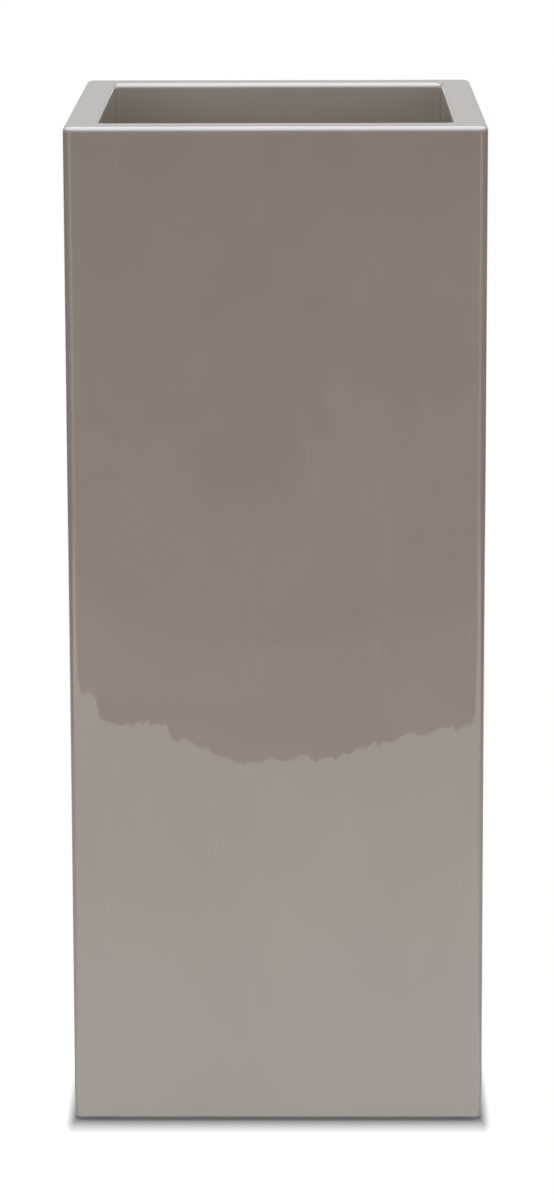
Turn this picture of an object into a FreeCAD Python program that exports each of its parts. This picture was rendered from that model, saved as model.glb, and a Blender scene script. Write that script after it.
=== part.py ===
"""Tall square planter in glass-fibre laminate: a glossy shell with a wide flat rim and a down-turned lip,
a bonded base with a drain hole and its plug, a lift-out shelf on four ledges, and four low rubber feet.

Millimetres. +Z is up, the origin is on the floor under the middle of the planter, and -Y is the front.
Every size below is a plain number in the Sizes sheet, and every sub-part reads it from there.
"""

import FreeCAD, Part
import math
import os
import Sketcher

SIZES = (
    ("width", 380, "outside, left to right"),
    ("depth", 380, "outside, front to back"),
    ("height", 935, "floor to the top of the rim"),
    ("wall", 4, "laminate thickness of walls, rim, lip and base flange"),
    ("edge_radius", 8, "upright outside edges"),
    ("rim_width", 30, "flat rim, outside face to the lip's inside face"),
    ("rim_radius", 5, "rim's outside edge"),
    ("lip_depth", 75, "top of the rim to the lip's lower edge"),
    ("lip_radius", 5.5, "rim's inside edge"),
    ("opening_corner", 9, "upright corners of the opening"),
    ("base_radius", 2, "bottom outside edge"),
    ("flange_margin", 2, "base flange beyond the feet"),
    ("base_thickness", 6, "base panel"),
    ("bond_gap", 0.5, "base panel's edge to the wall"),
    ("tape_width", 50, "each leg of the laminate tape round the base"),
    ("tape_thickness", 3, "built-up tape"),
    ("tape_fillet", 10, "hollow of the tape's inside corner"),
    ("strip_gap", 1, "between the ends of neighbouring strips"),
    ("shelf_drop", 330, "top of the rim down to the top of the shelf"),
    ("shelf_thickness", 12, "shelf board"),
    ("shelf_clearance", 4, "shelf's edge to the lip as it is lifted out"),
    ("shelf_bearing", 15, "shelf's edge resting on a ledge"),
    ("shelf_corner", 12, "shelf's plan corners"),
    ("shelf_edge", 2, "rounding of the shelf's edges"),
    ("slot_length", 90, "finger slots in the shelf"),
    ("slot_width", 30, "finger slots in the shelf"),
    ("slot_reach", 110, "middle of the shelf to the middle of a finger slot"),
    ("shelf_drain", 12, "drain holes in the shelf"),
    ("drain_ring", 60, "radius of the ring of drain holes"),
    ("drain_count", 8, "holes in the ring"),
    ("ledge_drop", 35, "ledge's leg down the wall"),
    ("ledge_thickness", 4, "ledge laminate"),
    ("ledge_fillet", 5, "hollow of the ledge's inside corner"),
    ("drain_hole", 26, "drain hole in the base"),
    ("plug_clearance", 0.05, "plug's shank to the hole, on the radius"),
    ("plug_flange", 5, "plug's head beyond the hole, on the radius"),
    ("plug_head", 3, "thickness of the plug's head"),
    ("plug_nose", 5, "plug's shank above the base"),
    ("plug_lead", 2, "chamfer that leads the plug in"),
    ("foot_diameter", 30, "rubber pads"),
    ("foot_height", 3, "rubber pads"),
    ("foot_inset", 5, "rounded bottom edge to a pad"),
    ("foot_chamfer", 1, "lower edge of a pad"),
)

# Sizes that follow from the sheet, as expressions.
INSIDE_X = "(Sizes.width - 2 * Sizes.wall)"
INSIDE_Y = "(Sizes.depth - 2 * Sizes.wall)"
INSIDE_CORNER = "(Sizes.edge_radius - Sizes.wall)"
OPENING_X = "(Sizes.width - 2 * Sizes.rim_width)"
OPENING_Y = "(Sizes.depth - 2 * Sizes.rim_width)"
FLANGE = "(Sizes.base_radius + Sizes.foot_inset + Sizes.foot_diameter + Sizes.flange_margin)"
FLANGE_TOP = "(Sizes.foot_height + Sizes.wall)"
BASE_TOP = "(Sizes.foot_height + Sizes.wall + Sizes.base_thickness)"
SHELF_UNDERSIDE = "(Sizes.height - Sizes.shelf_drop - Sizes.shelf_thickness)"
LEDGE_WIDTH = "(Sizes.rim_width + Sizes.shelf_clearance + Sizes.shelf_bearing - Sizes.wall)"
FOOT_REACH = "(Sizes.base_radius + Sizes.foot_inset + Sizes.foot_diameter / 2)"

# The four walls as quarter turns from the right-hand one: name, turn, its distance and its length.
SIDES = (
    ("right", 0, "Sizes.width", "Sizes.depth"),
    ("back", 90, "Sizes.depth", "Sizes.width"),
    ("left", 180, "Sizes.width", "Sizes.depth"),
    ("front", 270, "Sizes.depth", "Sizes.width"),
)
CORNERS = (
    ("front_left", "-", "-"),
    ("front_right", "", "-"),
    ("back_left", "-", ""),
    ("back_right", "", ""),
)
ORIGIN = -1
H_AXIS = -1
V_AXIS = -2
START, END, CENTRE = 1, 2, 3
TOLERANCE = 1e-6

doc = FreeCAD.newDocument("TallSquarePlanter")


def make_sheet():
    """The driving dimensions: one row each, with its alias, its value and what it is."""
    sheet = doc.addObject("Spreadsheet::Sheet", "Sizes")
    for row, (alias, size, meaning) in enumerate(SIZES, start=1):
        sheet.set(f"A{row}", alias)
        sheet.set(f"B{row}", str(size))
        sheet.set(f"C{row}", meaning)
        sheet.setAlias(f"B{row}", alias)
    doc.recompute()
    return sheet


def new_body(label):
    """An empty sub-part."""
    body = doc.addObject("PartDesign::Body", label)
    body.Label = label
    return body


def origin_feature(body, role):
    """The body's own plane or axis with that role."""
    return next(item for item in body.Origin.OriginFeatures if item.Role == role)


def new_sketch(body, name, role="XY_Plane", level=None):
    """A sketch on one of the body's planes, raised to a level where that is given."""
    sketch = body.newObject("Sketcher::SketchObject", f"{body.Name}_{name}")
    sketch.AttachmentSupport = (origin_feature(body, role), [""])
    sketch.MapMode = "FlatFace"
    if level:
        sketch.setExpression("AttachmentOffset.Base.z", level)
    return sketch


def dimension(sketch, name, kind, references, expression):
    """A named driving dimension, bound to the sheet."""
    index = sketch.addConstraint(Sketcher.Constraint(kind, *references, sketch.evalExpression(expression)))
    sketch.renameConstraint(index, name)
    sketch.setExpression(f"Constraints.{name}", expression)


def rounded_rectangle(sketch, name, size_x, size_y, radius):
    """A rectangle centred on the origin, with one radius at its four corners."""
    half_x = sketch.evalExpression(size_x) / 2
    half_y = sketch.evalExpression(size_y) / 2
    round_off = sketch.evalExpression(radius)
    turns = ((1, -1, 270), (1, 1, 0), (-1, 1, 90), (-1, -1, 180))
    first = sketch.GeometryCount
    for sign_x, sign_y, angle in turns:
        centre = FreeCAD.Vector(sign_x * (half_x - round_off), sign_y * (half_y - round_off), 0)
        circle = Part.Circle(centre, FreeCAD.Vector(0, 0, 1), round_off)
        sketch.addGeometry(Part.ArcOfCircle(circle, math.radians(angle), math.radians(angle + 90)))
    arcs = [first + step for step in range(4)]
    for step, arc in enumerate(arcs):
        following = arcs[(step + 1) % 4]
        begin = sketch.getPoint(arc, END)
        finish = sketch.getPoint(following, START)
        line = sketch.addGeometry(Part.LineSegment(begin, finish))
        sketch.addConstraint(Sketcher.Constraint("Tangent", arc, END, line, START))
        sketch.addConstraint(Sketcher.Constraint("Tangent", line, END, following, START))
        sketch.addConstraint(Sketcher.Constraint("Vertical" if step % 2 == 0 else "Horizontal", line))
        if step:
            sketch.addConstraint(Sketcher.Constraint("Equal", arcs[0], arc))
    sketch.addConstraint(Sketcher.Constraint("Symmetric", arcs[3], CENTRE, arcs[1], CENTRE, ORIGIN, START))
    right, left = first + 4, first + 6
    bottom, top = first + 7, first + 5
    dimension(sketch, f"{name}_x", "DistanceX", (left, START, right, START), size_x)
    dimension(sketch, f"{name}_y", "DistanceY", (bottom, START, top, START), size_y)
    dimension(sketch, f"{name}_corner", "Radius", (arcs[0],), radius)


def closed_outline(sketch, corners):
    """Straight edges through corners given as pairs of expressions, each zero or more from the origin."""
    points = [
        FreeCAD.Vector(sketch.evalExpression(across), sketch.evalExpression(up), 0)
        for across, up in corners
    ]
    for begin, finish in zip(points, points[1:] + points[:1]):
        sketch.addGeometry(Part.LineSegment(begin, finish))
    for edge, (across, up) in enumerate(corners):
        before = (edge - 1) % len(corners)
        sketch.addConstraint(Sketcher.Constraint("Coincident", before, END, edge, START))
        if across == "0":
            sketch.addConstraint(Sketcher.Constraint("PointOnObject", edge, START, V_AXIS))
        else:
            dimension(sketch, f"across_{edge}", "DistanceX", (ORIGIN, START, edge, START), across)
        if up == "0":
            sketch.addConstraint(Sketcher.Constraint("PointOnObject", edge, START, H_AXIS))
        else:
            dimension(sketch, f"up_{edge}", "DistanceY", (ORIGIN, START, edge, START), up)


def round_hole(sketch, diameter, reach=None):
    """A circle on the origin, or on the X axis at a reach from it."""
    centre = FreeCAD.Vector(sketch.evalExpression(reach) if reach else 0, 0, 0)
    radius = sketch.evalExpression(diameter) / 2
    circle = sketch.addGeometry(Part.Circle(centre, FreeCAD.Vector(0, 0, 1), radius))
    if reach:
        sketch.addConstraint(Sketcher.Constraint("PointOnObject", circle, CENTRE, H_AXIS))
        dimension(sketch, "reach", "DistanceX", (ORIGIN, START, circle, CENTRE), reach)
    else:
        sketch.addConstraint(Sketcher.Constraint("Coincident", circle, CENTRE, ORIGIN, START))
    dimension(sketch, "diameter", "Diameter", (circle,), diameter)


def pad(body, sketch, length, down=False, both_ways=False):
    """Material from a sketch: upwards, downwards or to both sides of its plane."""
    feature = body.newObject("PartDesign::Pad", f"{sketch.Name}_pad")
    feature.Profile = sketch
    feature.setExpression("Length", length)
    feature.Reversed = down
    if both_ways:
        feature.SideType = "Symmetric"
    doc.recompute()
    return feature


def pocket(body, sketch, length):
    """A cut downwards from a sketch, to a depth."""
    before = body.Shape.Volume
    feature = body.newObject("PartDesign::Pocket", f"{sketch.Name}_cut")
    feature.Profile = sketch
    feature.setExpression("Length", length)
    doc.recompute()
    if body.Shape.Volume >= before:
        raise ValueError(f"{feature.Name} removed nothing")
    return feature


def revolve(body, sketch):
    """A full turn of a sketch about the upright axis."""
    feature = body.newObject("PartDesign::Revolution", f"{sketch.Name}_turn")
    feature.Profile = sketch
    feature.ReferenceAxis = (sketch, ["V_Axis"])
    feature.Angle = 360
    doc.recompute()
    return feature


def round_edges(body, name, chosen, radius):
    """A fillet on the edges of the body's tip for which chosen says yes."""
    base = body.Tip
    names = [f"Edge{number}" for number, edge in enumerate(base.Shape.Edges, start=1) if chosen(edge)]
    feature = body.newObject("PartDesign::Fillet", f"{body.Name}_{name}")
    feature.Base = (base, names)
    feature.setExpression("Radius", radius)
    doc.recompute()
    return feature


def loop_test(body, level, size_x, size_y):
    """Says whether an edge lies in the level outline of that size, centred on the upright axis."""
    height = body.evalExpression(level)
    half_x = body.evalExpression(size_x) / 2
    half_y = body.evalExpression(size_y) / 2

    def chosen(edge):
        box = edge.BoundBox
        flat = abs(box.ZMin - height) < TOLERANCE and abs(box.ZMax - height) < TOLERANCE
        at_side = abs(max(box.XMax, -box.XMin) - half_x) < TOLERANCE
        at_end = abs(max(box.YMax, -box.YMin) - half_y) < TOLERANCE
        return flat and (at_side or at_end)

    return chosen


def make_shell():
    """Four walls, a flat rim with its return lip, and a flange turned in at the bottom: one moulding."""
    body = new_body("shell")
    outside = new_sketch(body, "outside", level="Sizes.foot_height")
    rounded_rectangle(outside, "outside", "Sizes.width", "Sizes.depth", "Sizes.edge_radius")
    pad(body, outside, "Sizes.height - Sizes.foot_height")
    cavity = new_sketch(body, "cavity", level="Sizes.height - Sizes.wall")
    rounded_rectangle(cavity, "cavity", INSIDE_X, INSIDE_Y, INSIDE_CORNER)
    pocket(body, cavity, "Sizes.height - Sizes.foot_height - 2 * Sizes.wall")
    opening = new_sketch(body, "opening", level="Sizes.height")
    rounded_rectangle(opening, "opening", OPENING_X, OPENING_Y, "Sizes.opening_corner")
    pocket(body, opening, "Sizes.lip_depth")
    underside = new_sketch(body, "underside", level=BASE_TOP)
    rounded_rectangle(
        underside,
        "underside",
        f"Sizes.width - 2 * {FLANGE}",
        f"Sizes.depth - 2 * {FLANGE}",
        "Sizes.opening_corner",
    )
    pocket(body, underside, f"{BASE_TOP} - Sizes.foot_height")
    lip = new_sketch(body, "lip", level="Sizes.height - Sizes.wall")
    rounded_rectangle(lip, "inner", OPENING_X, OPENING_Y, "Sizes.opening_corner")
    rounded_rectangle(
        lip,
        "outer",
        f"{OPENING_X} + 2 * Sizes.wall",
        f"{OPENING_Y} + 2 * Sizes.wall",
        "Sizes.opening_corner + Sizes.wall",
    )
    pad(body, lip, "Sizes.lip_depth - Sizes.wall", down=True)
    rim_edge = loop_test(body, "Sizes.height", "Sizes.width", "Sizes.depth")
    round_edges(body, "rim_edge", rim_edge, "Sizes.rim_radius")
    lip_edge = loop_test(body, "Sizes.height", OPENING_X, OPENING_Y)
    round_edges(body, "lip_edge", lip_edge, "Sizes.lip_radius")
    base_edge = loop_test(body, "Sizes.foot_height", "Sizes.width", "Sizes.depth")
    round_edges(body, "base_edge", base_edge, "Sizes.base_radius")
    return body


def make_base_panel():
    """The panel that closes the bottom, lying on the shell's flange, with the drain hole in its middle."""
    body = new_body("base_panel")
    outline = new_sketch(body, "outline", level=FLANGE_TOP)
    rounded_rectangle(
        outline,
        "outline",
        f"{INSIDE_X} - 2 * Sizes.bond_gap",
        f"{INSIDE_Y} - 2 * Sizes.bond_gap",
        f"{INSIDE_CORNER} + Sizes.bond_gap",
    )
    pad(body, outline, "Sizes.base_thickness")
    drain = new_sketch(body, "drain", level=BASE_TOP)
    round_hole(drain, "Sizes.drain_hole")
    pocket(body, drain, "Sizes.base_thickness")
    return body


def make_strip(label, turn, length, corners, hollow, hollow_at):
    """An angle section along one wall: drawn for the right-hand wall, then turned to its own.

    hollow is the radius of its inside corner, and hollow_at where that corner is.
    """
    body = new_body(label)
    section = new_sketch(body, "section", role="XZ_Plane")
    closed_outline(section, corners)
    pad(body, section, length, both_ways=True)
    across, up = (body.evalExpression(expression) for expression in hollow_at)

    def inside_corner(edge):
        box = edge.BoundBox
        off_across = abs(box.XMin - across) + abs(box.XMax - across)
        off_up = abs(box.ZMin - up) + abs(box.ZMax - up)
        return off_across + off_up < TOLERANCE

    round_edges(body, "hollow", inside_corner, hollow)
    body.Placement = FreeCAD.Placement(FreeCAD.Vector(), FreeCAD.Rotation(FreeCAD.Vector(0, 0, 1), turn))
    return body


def strip_length(name, span, width):
    """Side strips stop short of the front and back ones, which stop short of the rounded corners."""
    if name in ("left", "right"):
        return f"{span} - 2 * (Sizes.wall + {width} + Sizes.strip_gap)"
    return f"{span} - 2 * (Sizes.edge_radius + Sizes.strip_gap)"


def make_base_tapes():
    """Built-up laminate tape that bonds the base panel to each wall."""
    tapes = []
    for name, turn, distance, span in SIDES:
        face = f"{distance} / 2 - Sizes.wall"
        hollow_at = (f"{face} - Sizes.tape_thickness", f"{BASE_TOP} + Sizes.tape_thickness")
        corners = (
            (face, BASE_TOP),
            (face, f"{BASE_TOP} + Sizes.tape_width"),
            (hollow_at[0], f"{BASE_TOP} + Sizes.tape_width"),
            hollow_at,
            (f"{face} - Sizes.tape_width", hollow_at[1]),
            (f"{face} - Sizes.tape_width", BASE_TOP),
        )
        length = strip_length(name, span, "Sizes.tape_width")
        tape = make_strip(f"base_tape_{name}", turn, length, corners, "Sizes.tape_fillet", hollow_at)
        tapes.append(tape)
    return tapes


def make_shelf_ledges():
    """Angles bonded to the walls, whose flat tops carry the shelf."""
    ledges = []
    for name, turn, distance, span in SIDES:
        face = f"{distance} / 2 - Sizes.wall"
        hollow_at = (f"{face} - Sizes.ledge_thickness", f"{SHELF_UNDERSIDE} - Sizes.ledge_thickness")
        corners = (
            (face, SHELF_UNDERSIDE),
            (f"{face} - {LEDGE_WIDTH}", SHELF_UNDERSIDE),
            (f"{face} - {LEDGE_WIDTH}", hollow_at[1]),
            hollow_at,
            (hollow_at[0], f"{SHELF_UNDERSIDE} - Sizes.ledge_drop"),
            (face, f"{SHELF_UNDERSIDE} - Sizes.ledge_drop"),
        )
        length = strip_length(name, span, LEDGE_WIDTH)
        ledge = make_strip(f"shelf_ledge_{name}", turn, length, corners, "Sizes.ledge_fillet", hollow_at)
        ledges.append(ledge)
    return ledges


def make_shelf():
    """The lift-out board: small enough for the opening, with two finger slots and nine drain holes."""
    body = new_body("shelf")
    size_x = f"{OPENING_X} - 2 * Sizes.shelf_clearance"
    size_y = f"{OPENING_Y} - 2 * Sizes.shelf_clearance"
    top = "Sizes.height - Sizes.shelf_drop"
    outline = new_sketch(body, "outline", level=SHELF_UNDERSIDE)
    rounded_rectangle(outline, "outline", size_x, size_y, "Sizes.shelf_corner")
    pad(body, outline, "Sizes.shelf_thickness")
    for name, level in (("upper", top), ("lower", SHELF_UNDERSIDE)):
        round_edges(body, f"{name}_edge", loop_test(body, level, size_x, size_y), "Sizes.shelf_edge")
    centre = new_sketch(body, "centre_drain", level=top)
    round_hole(centre, "Sizes.shelf_drain")
    pocket(body, centre, "Sizes.shelf_thickness")
    ring = new_sketch(body, "ring_drain", level=top)
    round_hole(ring, "Sizes.shelf_drain", reach="Sizes.drain_ring")
    ring_hole = pocket(body, ring, "Sizes.shelf_thickness")
    pattern = body.newObject("PartDesign::PolarPattern", "shelf_ring")
    pattern.Originals = [ring_hole]
    pattern.Axis = (origin_feature(body, "Z_Axis"), [""])
    pattern.Angle = 360
    pattern.setExpression("Occurrences", "Sizes.drain_count")
    body.Tip = pattern
    doc.recompute()
    slot = new_sketch(body, "finger_slot", level=top)
    finger_slot(slot)
    slot_cut = pocket(body, slot, "Sizes.shelf_thickness")
    mirror = body.newObject("PartDesign::Mirrored", "shelf_second_slot")
    mirror.Originals = [slot_cut]
    mirror.MirrorPlane = (origin_feature(body, "YZ_Plane"), [""])
    body.Tip = mirror
    doc.recompute()
    return body


def finger_slot(sketch):
    """A slot with round ends, its length along Y, centred on the X axis."""
    reach = sketch.evalExpression("Sizes.slot_reach")
    radius = sketch.evalExpression("Sizes.slot_width") / 2
    straight = sketch.evalExpression("Sizes.slot_length") / 2 - radius
    up = FreeCAD.Vector(0, 0, 1)
    far_end = Part.Circle(FreeCAD.Vector(reach, straight, 0), up, radius)
    near_end = Part.Circle(FreeCAD.Vector(reach, -straight, 0), up, radius)
    far_arc = sketch.addGeometry(Part.ArcOfCircle(far_end, 0, math.pi))
    near_arc = sketch.addGeometry(Part.ArcOfCircle(near_end, math.pi, 2 * math.pi))
    for arc, following in ((far_arc, near_arc), (near_arc, far_arc)):
        begin = sketch.getPoint(arc, END)
        finish = sketch.getPoint(following, START)
        side = sketch.addGeometry(Part.LineSegment(begin, finish))
        sketch.addConstraint(Sketcher.Constraint("Tangent", arc, END, side, START))
        sketch.addConstraint(Sketcher.Constraint("Tangent", side, END, following, START))
    sketch.addConstraint(Sketcher.Constraint("Symmetric", far_arc, CENTRE, near_arc, CENTRE, H_AXIS))
    dimension(sketch, "reach", "DistanceX", (ORIGIN, START, far_arc, CENTRE), "Sizes.slot_reach")
    dimension(
        sketch,
        "centres",
        "DistanceY",
        (near_arc, CENTRE, far_arc, CENTRE),
        "Sizes.slot_length - Sizes.slot_width",
    )
    dimension(sketch, "end_radius", "Radius", (far_arc,), "Sizes.slot_width / 2")


def make_drain_plug():
    """A rubber plug pushed up into the drain hole until its head meets the base panel."""
    body = new_body("drain_plug")
    head = "Sizes.drain_hole / 2 + Sizes.plug_flange"
    shank = "Sizes.drain_hole / 2 - Sizes.plug_clearance"
    tip = "Sizes.plug_head + Sizes.base_thickness + Sizes.plug_nose"
    profile = new_sketch(body, "profile", role="XZ_Plane")
    corners = (
        ("0", "0"),
        (f"{head} - Sizes.plug_head / 3", "0"),
        (head, "Sizes.plug_head / 3"),
        (head, "Sizes.plug_head"),
        (shank, "Sizes.plug_head"),
        (shank, f"{tip} - Sizes.plug_lead"),
        (f"{shank} - Sizes.plug_lead", tip),
        ("0", tip),
    )
    closed_outline(profile, corners)
    revolve(body, profile)
    body.setExpression("Placement.Base.z", f"{FLANGE_TOP} - Sizes.plug_head")
    return body


def make_feet():
    """Rubber pads under the four corners of the base flange."""
    feet = []
    for name, sign_x, sign_y in CORNERS:
        body = new_body(f"foot_{name}")
        profile = new_sketch(body, "profile", role="XZ_Plane")
        corners = (
            ("0", "0"),
            ("Sizes.foot_diameter / 2 - Sizes.foot_chamfer", "0"),
            ("Sizes.foot_diameter / 2", "Sizes.foot_chamfer"),
            ("Sizes.foot_diameter / 2", "Sizes.foot_height"),
            ("0", "Sizes.foot_height"),
        )
        closed_outline(profile, corners)
        revolve(body, profile)
        body.setExpression("Placement.Base.x", f"{sign_x}(Sizes.width / 2 - {FOOT_REACH})")
        body.setExpression("Placement.Base.y", f"{sign_y}(Sizes.depth / 2 - {FOOT_REACH})")
        feet.append(body)
    return feet


def check(sub_parts):
    """Stops the build at a failed object or a bad shape."""
    for item in doc.Objects:
        if "Invalid" in item.State or "Error" in item.State:
            raise ValueError(f"{item.Label} failed: {item.State}")
    for body in sub_parts:
        if body.Shape.isNull() or not body.Shape.isValid():
            raise ValueError(f"{body.Label} has no valid shape")
        if len(body.Shape.Solids) != 1:
            raise ValueError(f"{body.Label} is {len(body.Shape.Solids)} solids")


def export(sub_parts):
    """One file for each sub-part, under its own name."""
    os.makedirs("parts", exist_ok=True)
    for body in sub_parts:
        body.Shape.exportStep(f"parts/{body.Label}.step")
        box = body.Shape.BoundBox
        print(f"{body.Label:20s} {body.Shape.Volume / 1000:9.1f} cm3  z {box.ZMin:7.2f} to {box.ZMax:7.2f}")


make_sheet()
planter = [make_shell(), make_base_panel(), *make_base_tapes(), *make_shelf_ledges()]
planter += [make_shelf(), make_drain_plug(), *make_feet()]
doc.recompute()
check(planter)
export(planter)
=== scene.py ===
import math

import bmesh
import bpy
import numpy as np
from mathutils import Matrix, Vector


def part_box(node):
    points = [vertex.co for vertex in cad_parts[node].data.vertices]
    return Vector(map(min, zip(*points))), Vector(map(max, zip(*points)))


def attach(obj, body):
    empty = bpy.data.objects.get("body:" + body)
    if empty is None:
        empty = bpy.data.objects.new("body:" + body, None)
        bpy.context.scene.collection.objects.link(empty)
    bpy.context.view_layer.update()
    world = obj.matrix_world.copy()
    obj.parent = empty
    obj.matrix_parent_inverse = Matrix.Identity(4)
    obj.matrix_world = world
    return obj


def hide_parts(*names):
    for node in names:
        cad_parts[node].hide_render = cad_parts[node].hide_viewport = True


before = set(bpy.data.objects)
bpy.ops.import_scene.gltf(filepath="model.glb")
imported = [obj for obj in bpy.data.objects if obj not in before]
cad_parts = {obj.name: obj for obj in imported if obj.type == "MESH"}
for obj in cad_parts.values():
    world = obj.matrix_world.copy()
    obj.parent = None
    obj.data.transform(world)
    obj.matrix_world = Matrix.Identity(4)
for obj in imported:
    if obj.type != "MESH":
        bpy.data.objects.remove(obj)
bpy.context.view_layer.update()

# ---- Sizes, in metres ----
# Places come from the frame; laminate sizes are those the moulding is made to.

shell_low, shell_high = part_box("shell")
panel_low, panel_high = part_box("base_panel")
tape_low, tape_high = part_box("base_tape_front")
ledge_low, ledge_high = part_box("shelf_ledge_front")
shelf_low, shelf_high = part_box("shelf")
plug_low, plug_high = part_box("drain_plug")

OUTSIDE = shell_high.x  # middle of the planter to its outside face
BOTTOM = shell_low.z
RIM_TOP = shell_high.z
WALL = 0.004
EDGE_RADIUS = 0.008  # upright outside edges
RIM_WIDTH = 0.030
RIM_RADIUS = 0.005
LIP_DEPTH = 0.075
LIP_RADIUS = 0.0055
OPENING_CORNER = 0.009
BASE_RADIUS = 0.002
BASE_OPENING = 0.151  # middle to the inner edge of the base flange
CUT_EDGE = 0.0012  # sanded edge of trimmed laminate
CAVITY_CORNER = 0.008  # resin gathers in the inside corners
CAVITY_HOLLOW = 0.006
FLANGE_HOLLOW = 0.003
SUPPORT = 0.0006  # a row this far from a rounded edge keeps the edge's shading to itself
INSIDE = OUTSIDE - WALL
OPENING = OUTSIDE - RIM_WIDTH

PANEL_BEVEL = 0.001
PANEL_CORNER = 0.004
DRAIN_HOLE = 0.013  # radius

TAPE_THICKNESS = 0.003
TAPE_HOLLOW = 0.010
LEDGE_THICKNESS = 0.004
LEDGE_HOLLOW = 0.005

SHELF_CORNER = 0.012
SHELF_EDGE = 0.0015
LEVEL_FACE = 0.999  # a normal more upright than this is the flat board's
SLOT_LENGTH = 0.090
SLOT_WIDTH = 0.030
SLOT_REACH = 0.110
SHELF_DRAIN = 0.006  # radius
DRAIN_RING = 0.060
DRAIN_COUNT = 8

PLUG_HEAD = 0.018
PLUG_HEAD_DEPTH = 0.003
PLUG_SHANK = 0.01295
PLUG_DISH = 0.0012  # depth of the hollow in its head
PLUG_BEAD = 0.0004  # how far the sealing beads stand out
PLUG_BEAD_HALF = 0.0009
PLUG_BEADS_AT = (0.0022, 0.0055)  # above the head
PLUG_LEAD = 0.0016
PLUG_HOLLOW = 0.0050

FOOT_RADIUS = 0.015
FOOT_LEAN = 0.0004
FOOT_RING = 0.0006  # depth of the ring moulded in its face

SIDE_NAMES = ("front", "right", "back", "left")  # in the order that a path round the planter meets them
QUARTER = math.pi / 2
SAME = 1e-6  # points closer than this are one
SIDE_GATHER = 0.55  # how strongly a path's points draw together at the ends of its sides


# ---- Curves and surfaces ----

def ease(value, start, stop):
    """0 before start, 1 after stop and 3 t^2 - 2 t^3 between them."""
    share = np.clip((value - start) / (stop - start), 0, 1)
    return share * share * (3 - 2 * share)


def swell(across, up, wavelength, seed, waves=12):
    """Uneven ripple of about one wavelength: the sum of plane waves whose directions, lengths and
    phases come from the seed, scaled so that its root mean square is 1."""
    draw = np.random.default_rng(seed)
    total = np.zeros(np.broadcast(across, up).shape)
    least, most = (0, 0.7, 0), (math.pi, 1.5, 2 * math.pi)  # heading, share of the wavelength, phase
    for heading, stretch, phase in draw.uniform(least, most, (waves, 3)):
        number = 2 * math.pi / (wavelength * stretch)
        total += np.sin(number * (across * math.cos(heading) + up * math.sin(heading)) + phase)
    return total * math.sqrt(2 / waves)


def gathered(steps, gather):
    """Even shares from 0 up to, but without, 1. sin(2 pi t) / 2 pi times gather is taken off each
    share t, which draws them together at both ends."""
    share = np.arange(steps) / steps
    return share - gather * np.sin(2 * math.pi * share) / (2 * math.pi)


def run(start, stop, steps, gather=0.0):
    """Points on the straight line from start up to, but without, stop."""
    return np.asarray(start) + gathered(steps, gather)[:, None] * (np.asarray(stop) - np.asarray(start))


def turn(middle, radius, first, last, steps, corner):
    """An arc of the wall's profile round middle (half width, height), from angle first up to, but
    without, last, in degrees. Its corner centre stays at corner."""
    angle = np.radians(first + (last - first) * np.arange(steps) / steps)
    half = middle[0] + radius * np.cos(angle)
    height = middle[1] + radius * np.sin(angle)
    return np.stack([half, np.full(steps, corner), height], axis=1)


def four_ways(flat):
    """Plan points or directions of the front side, turned by none, one, two and three quarters."""
    turns = np.arange(4) * QUARTER
    across = np.stack([np.cos(turns), -np.sin(turns)], axis=1)
    deep = np.stack([np.sin(turns), np.cos(turns)], axis=1)
    return np.einsum("kij,...j->k...i", np.stack([across, deep], axis=1), flat)


def square_path(side_steps, corner_steps):
    """A rounded square as two sets of points: the square that its corner centres lie on, for a half
    width of 1, and the unit outward direction. Centre times the first plus radius times the second
    is any rounded square, anticlockwise from the front side's left end. Also gives each point's side."""
    angle = -QUARTER + QUARTER * np.arange(corner_steps) / corner_steps
    straight = np.stack([2 * gathered(side_steps, SIDE_GATHER) - 1, np.full(side_steps, -1.0)], axis=1)
    centres = np.concatenate([straight, np.tile([1.0, -1.0], (corner_steps, 1))])
    bend = np.stack([np.cos(angle), np.sin(angle)], axis=1)
    outward = np.concatenate([np.tile([0.0, -1.0], (side_steps, 1)), bend])
    side = np.repeat(np.arange(4), side_steps + corner_steps)
    return four_ways(centres).reshape(-1, 2), four_ways(outward).reshape(-1, 2), side


def carried_round(profile, path):
    """The surface that a profile of (half width, corner centre, height) sweeps round a rounded square:
    corner centre times the path's square plus the rest of the half width times its outward direction."""
    centres, outward, _ = path
    half, corner, height = profile.T[:, :, None]
    flat = corner[..., None] * centres + (half - corner)[..., None] * outward
    return np.concatenate([flat, np.broadcast_to(height[..., None], flat.shape[:2] + (1,))], axis=2)


def lengths(points, closed):
    """Distance along a row of points to each of them, and round to the first again if it is closed."""
    if closed:
        points = np.concatenate([points, points[:1]])
    steps = np.linalg.norm(np.diff(points, axis=0), axis=1)
    return np.concatenate([[0.0], np.cumsum(steps)])


def linked(name, data):
    """An object in the scene that holds the data."""
    thing = bpy.data.objects.new(name, data)
    bpy.context.scene.collection.objects.link(thing)
    return thing


def turned_out(mesh, weld, level=2.0):
    """Makes the faces of a closed mesh point outwards, and with weld first joins coincident points.
    Faces whose normal is as upright as level are shaded flat, which none is where level is over 1."""
    work = bmesh.new()
    work.from_mesh(mesh)
    if weld:
        bmesh.ops.remove_doubles(work, verts=work.verts, dist=SAME)
    bmesh.ops.recalc_face_normals(work, faces=work.faces)
    for face in work.faces:
        face.smooth = abs(face.normal.z) < level
    work.to_mesh(mesh)
    work.free()


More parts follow.
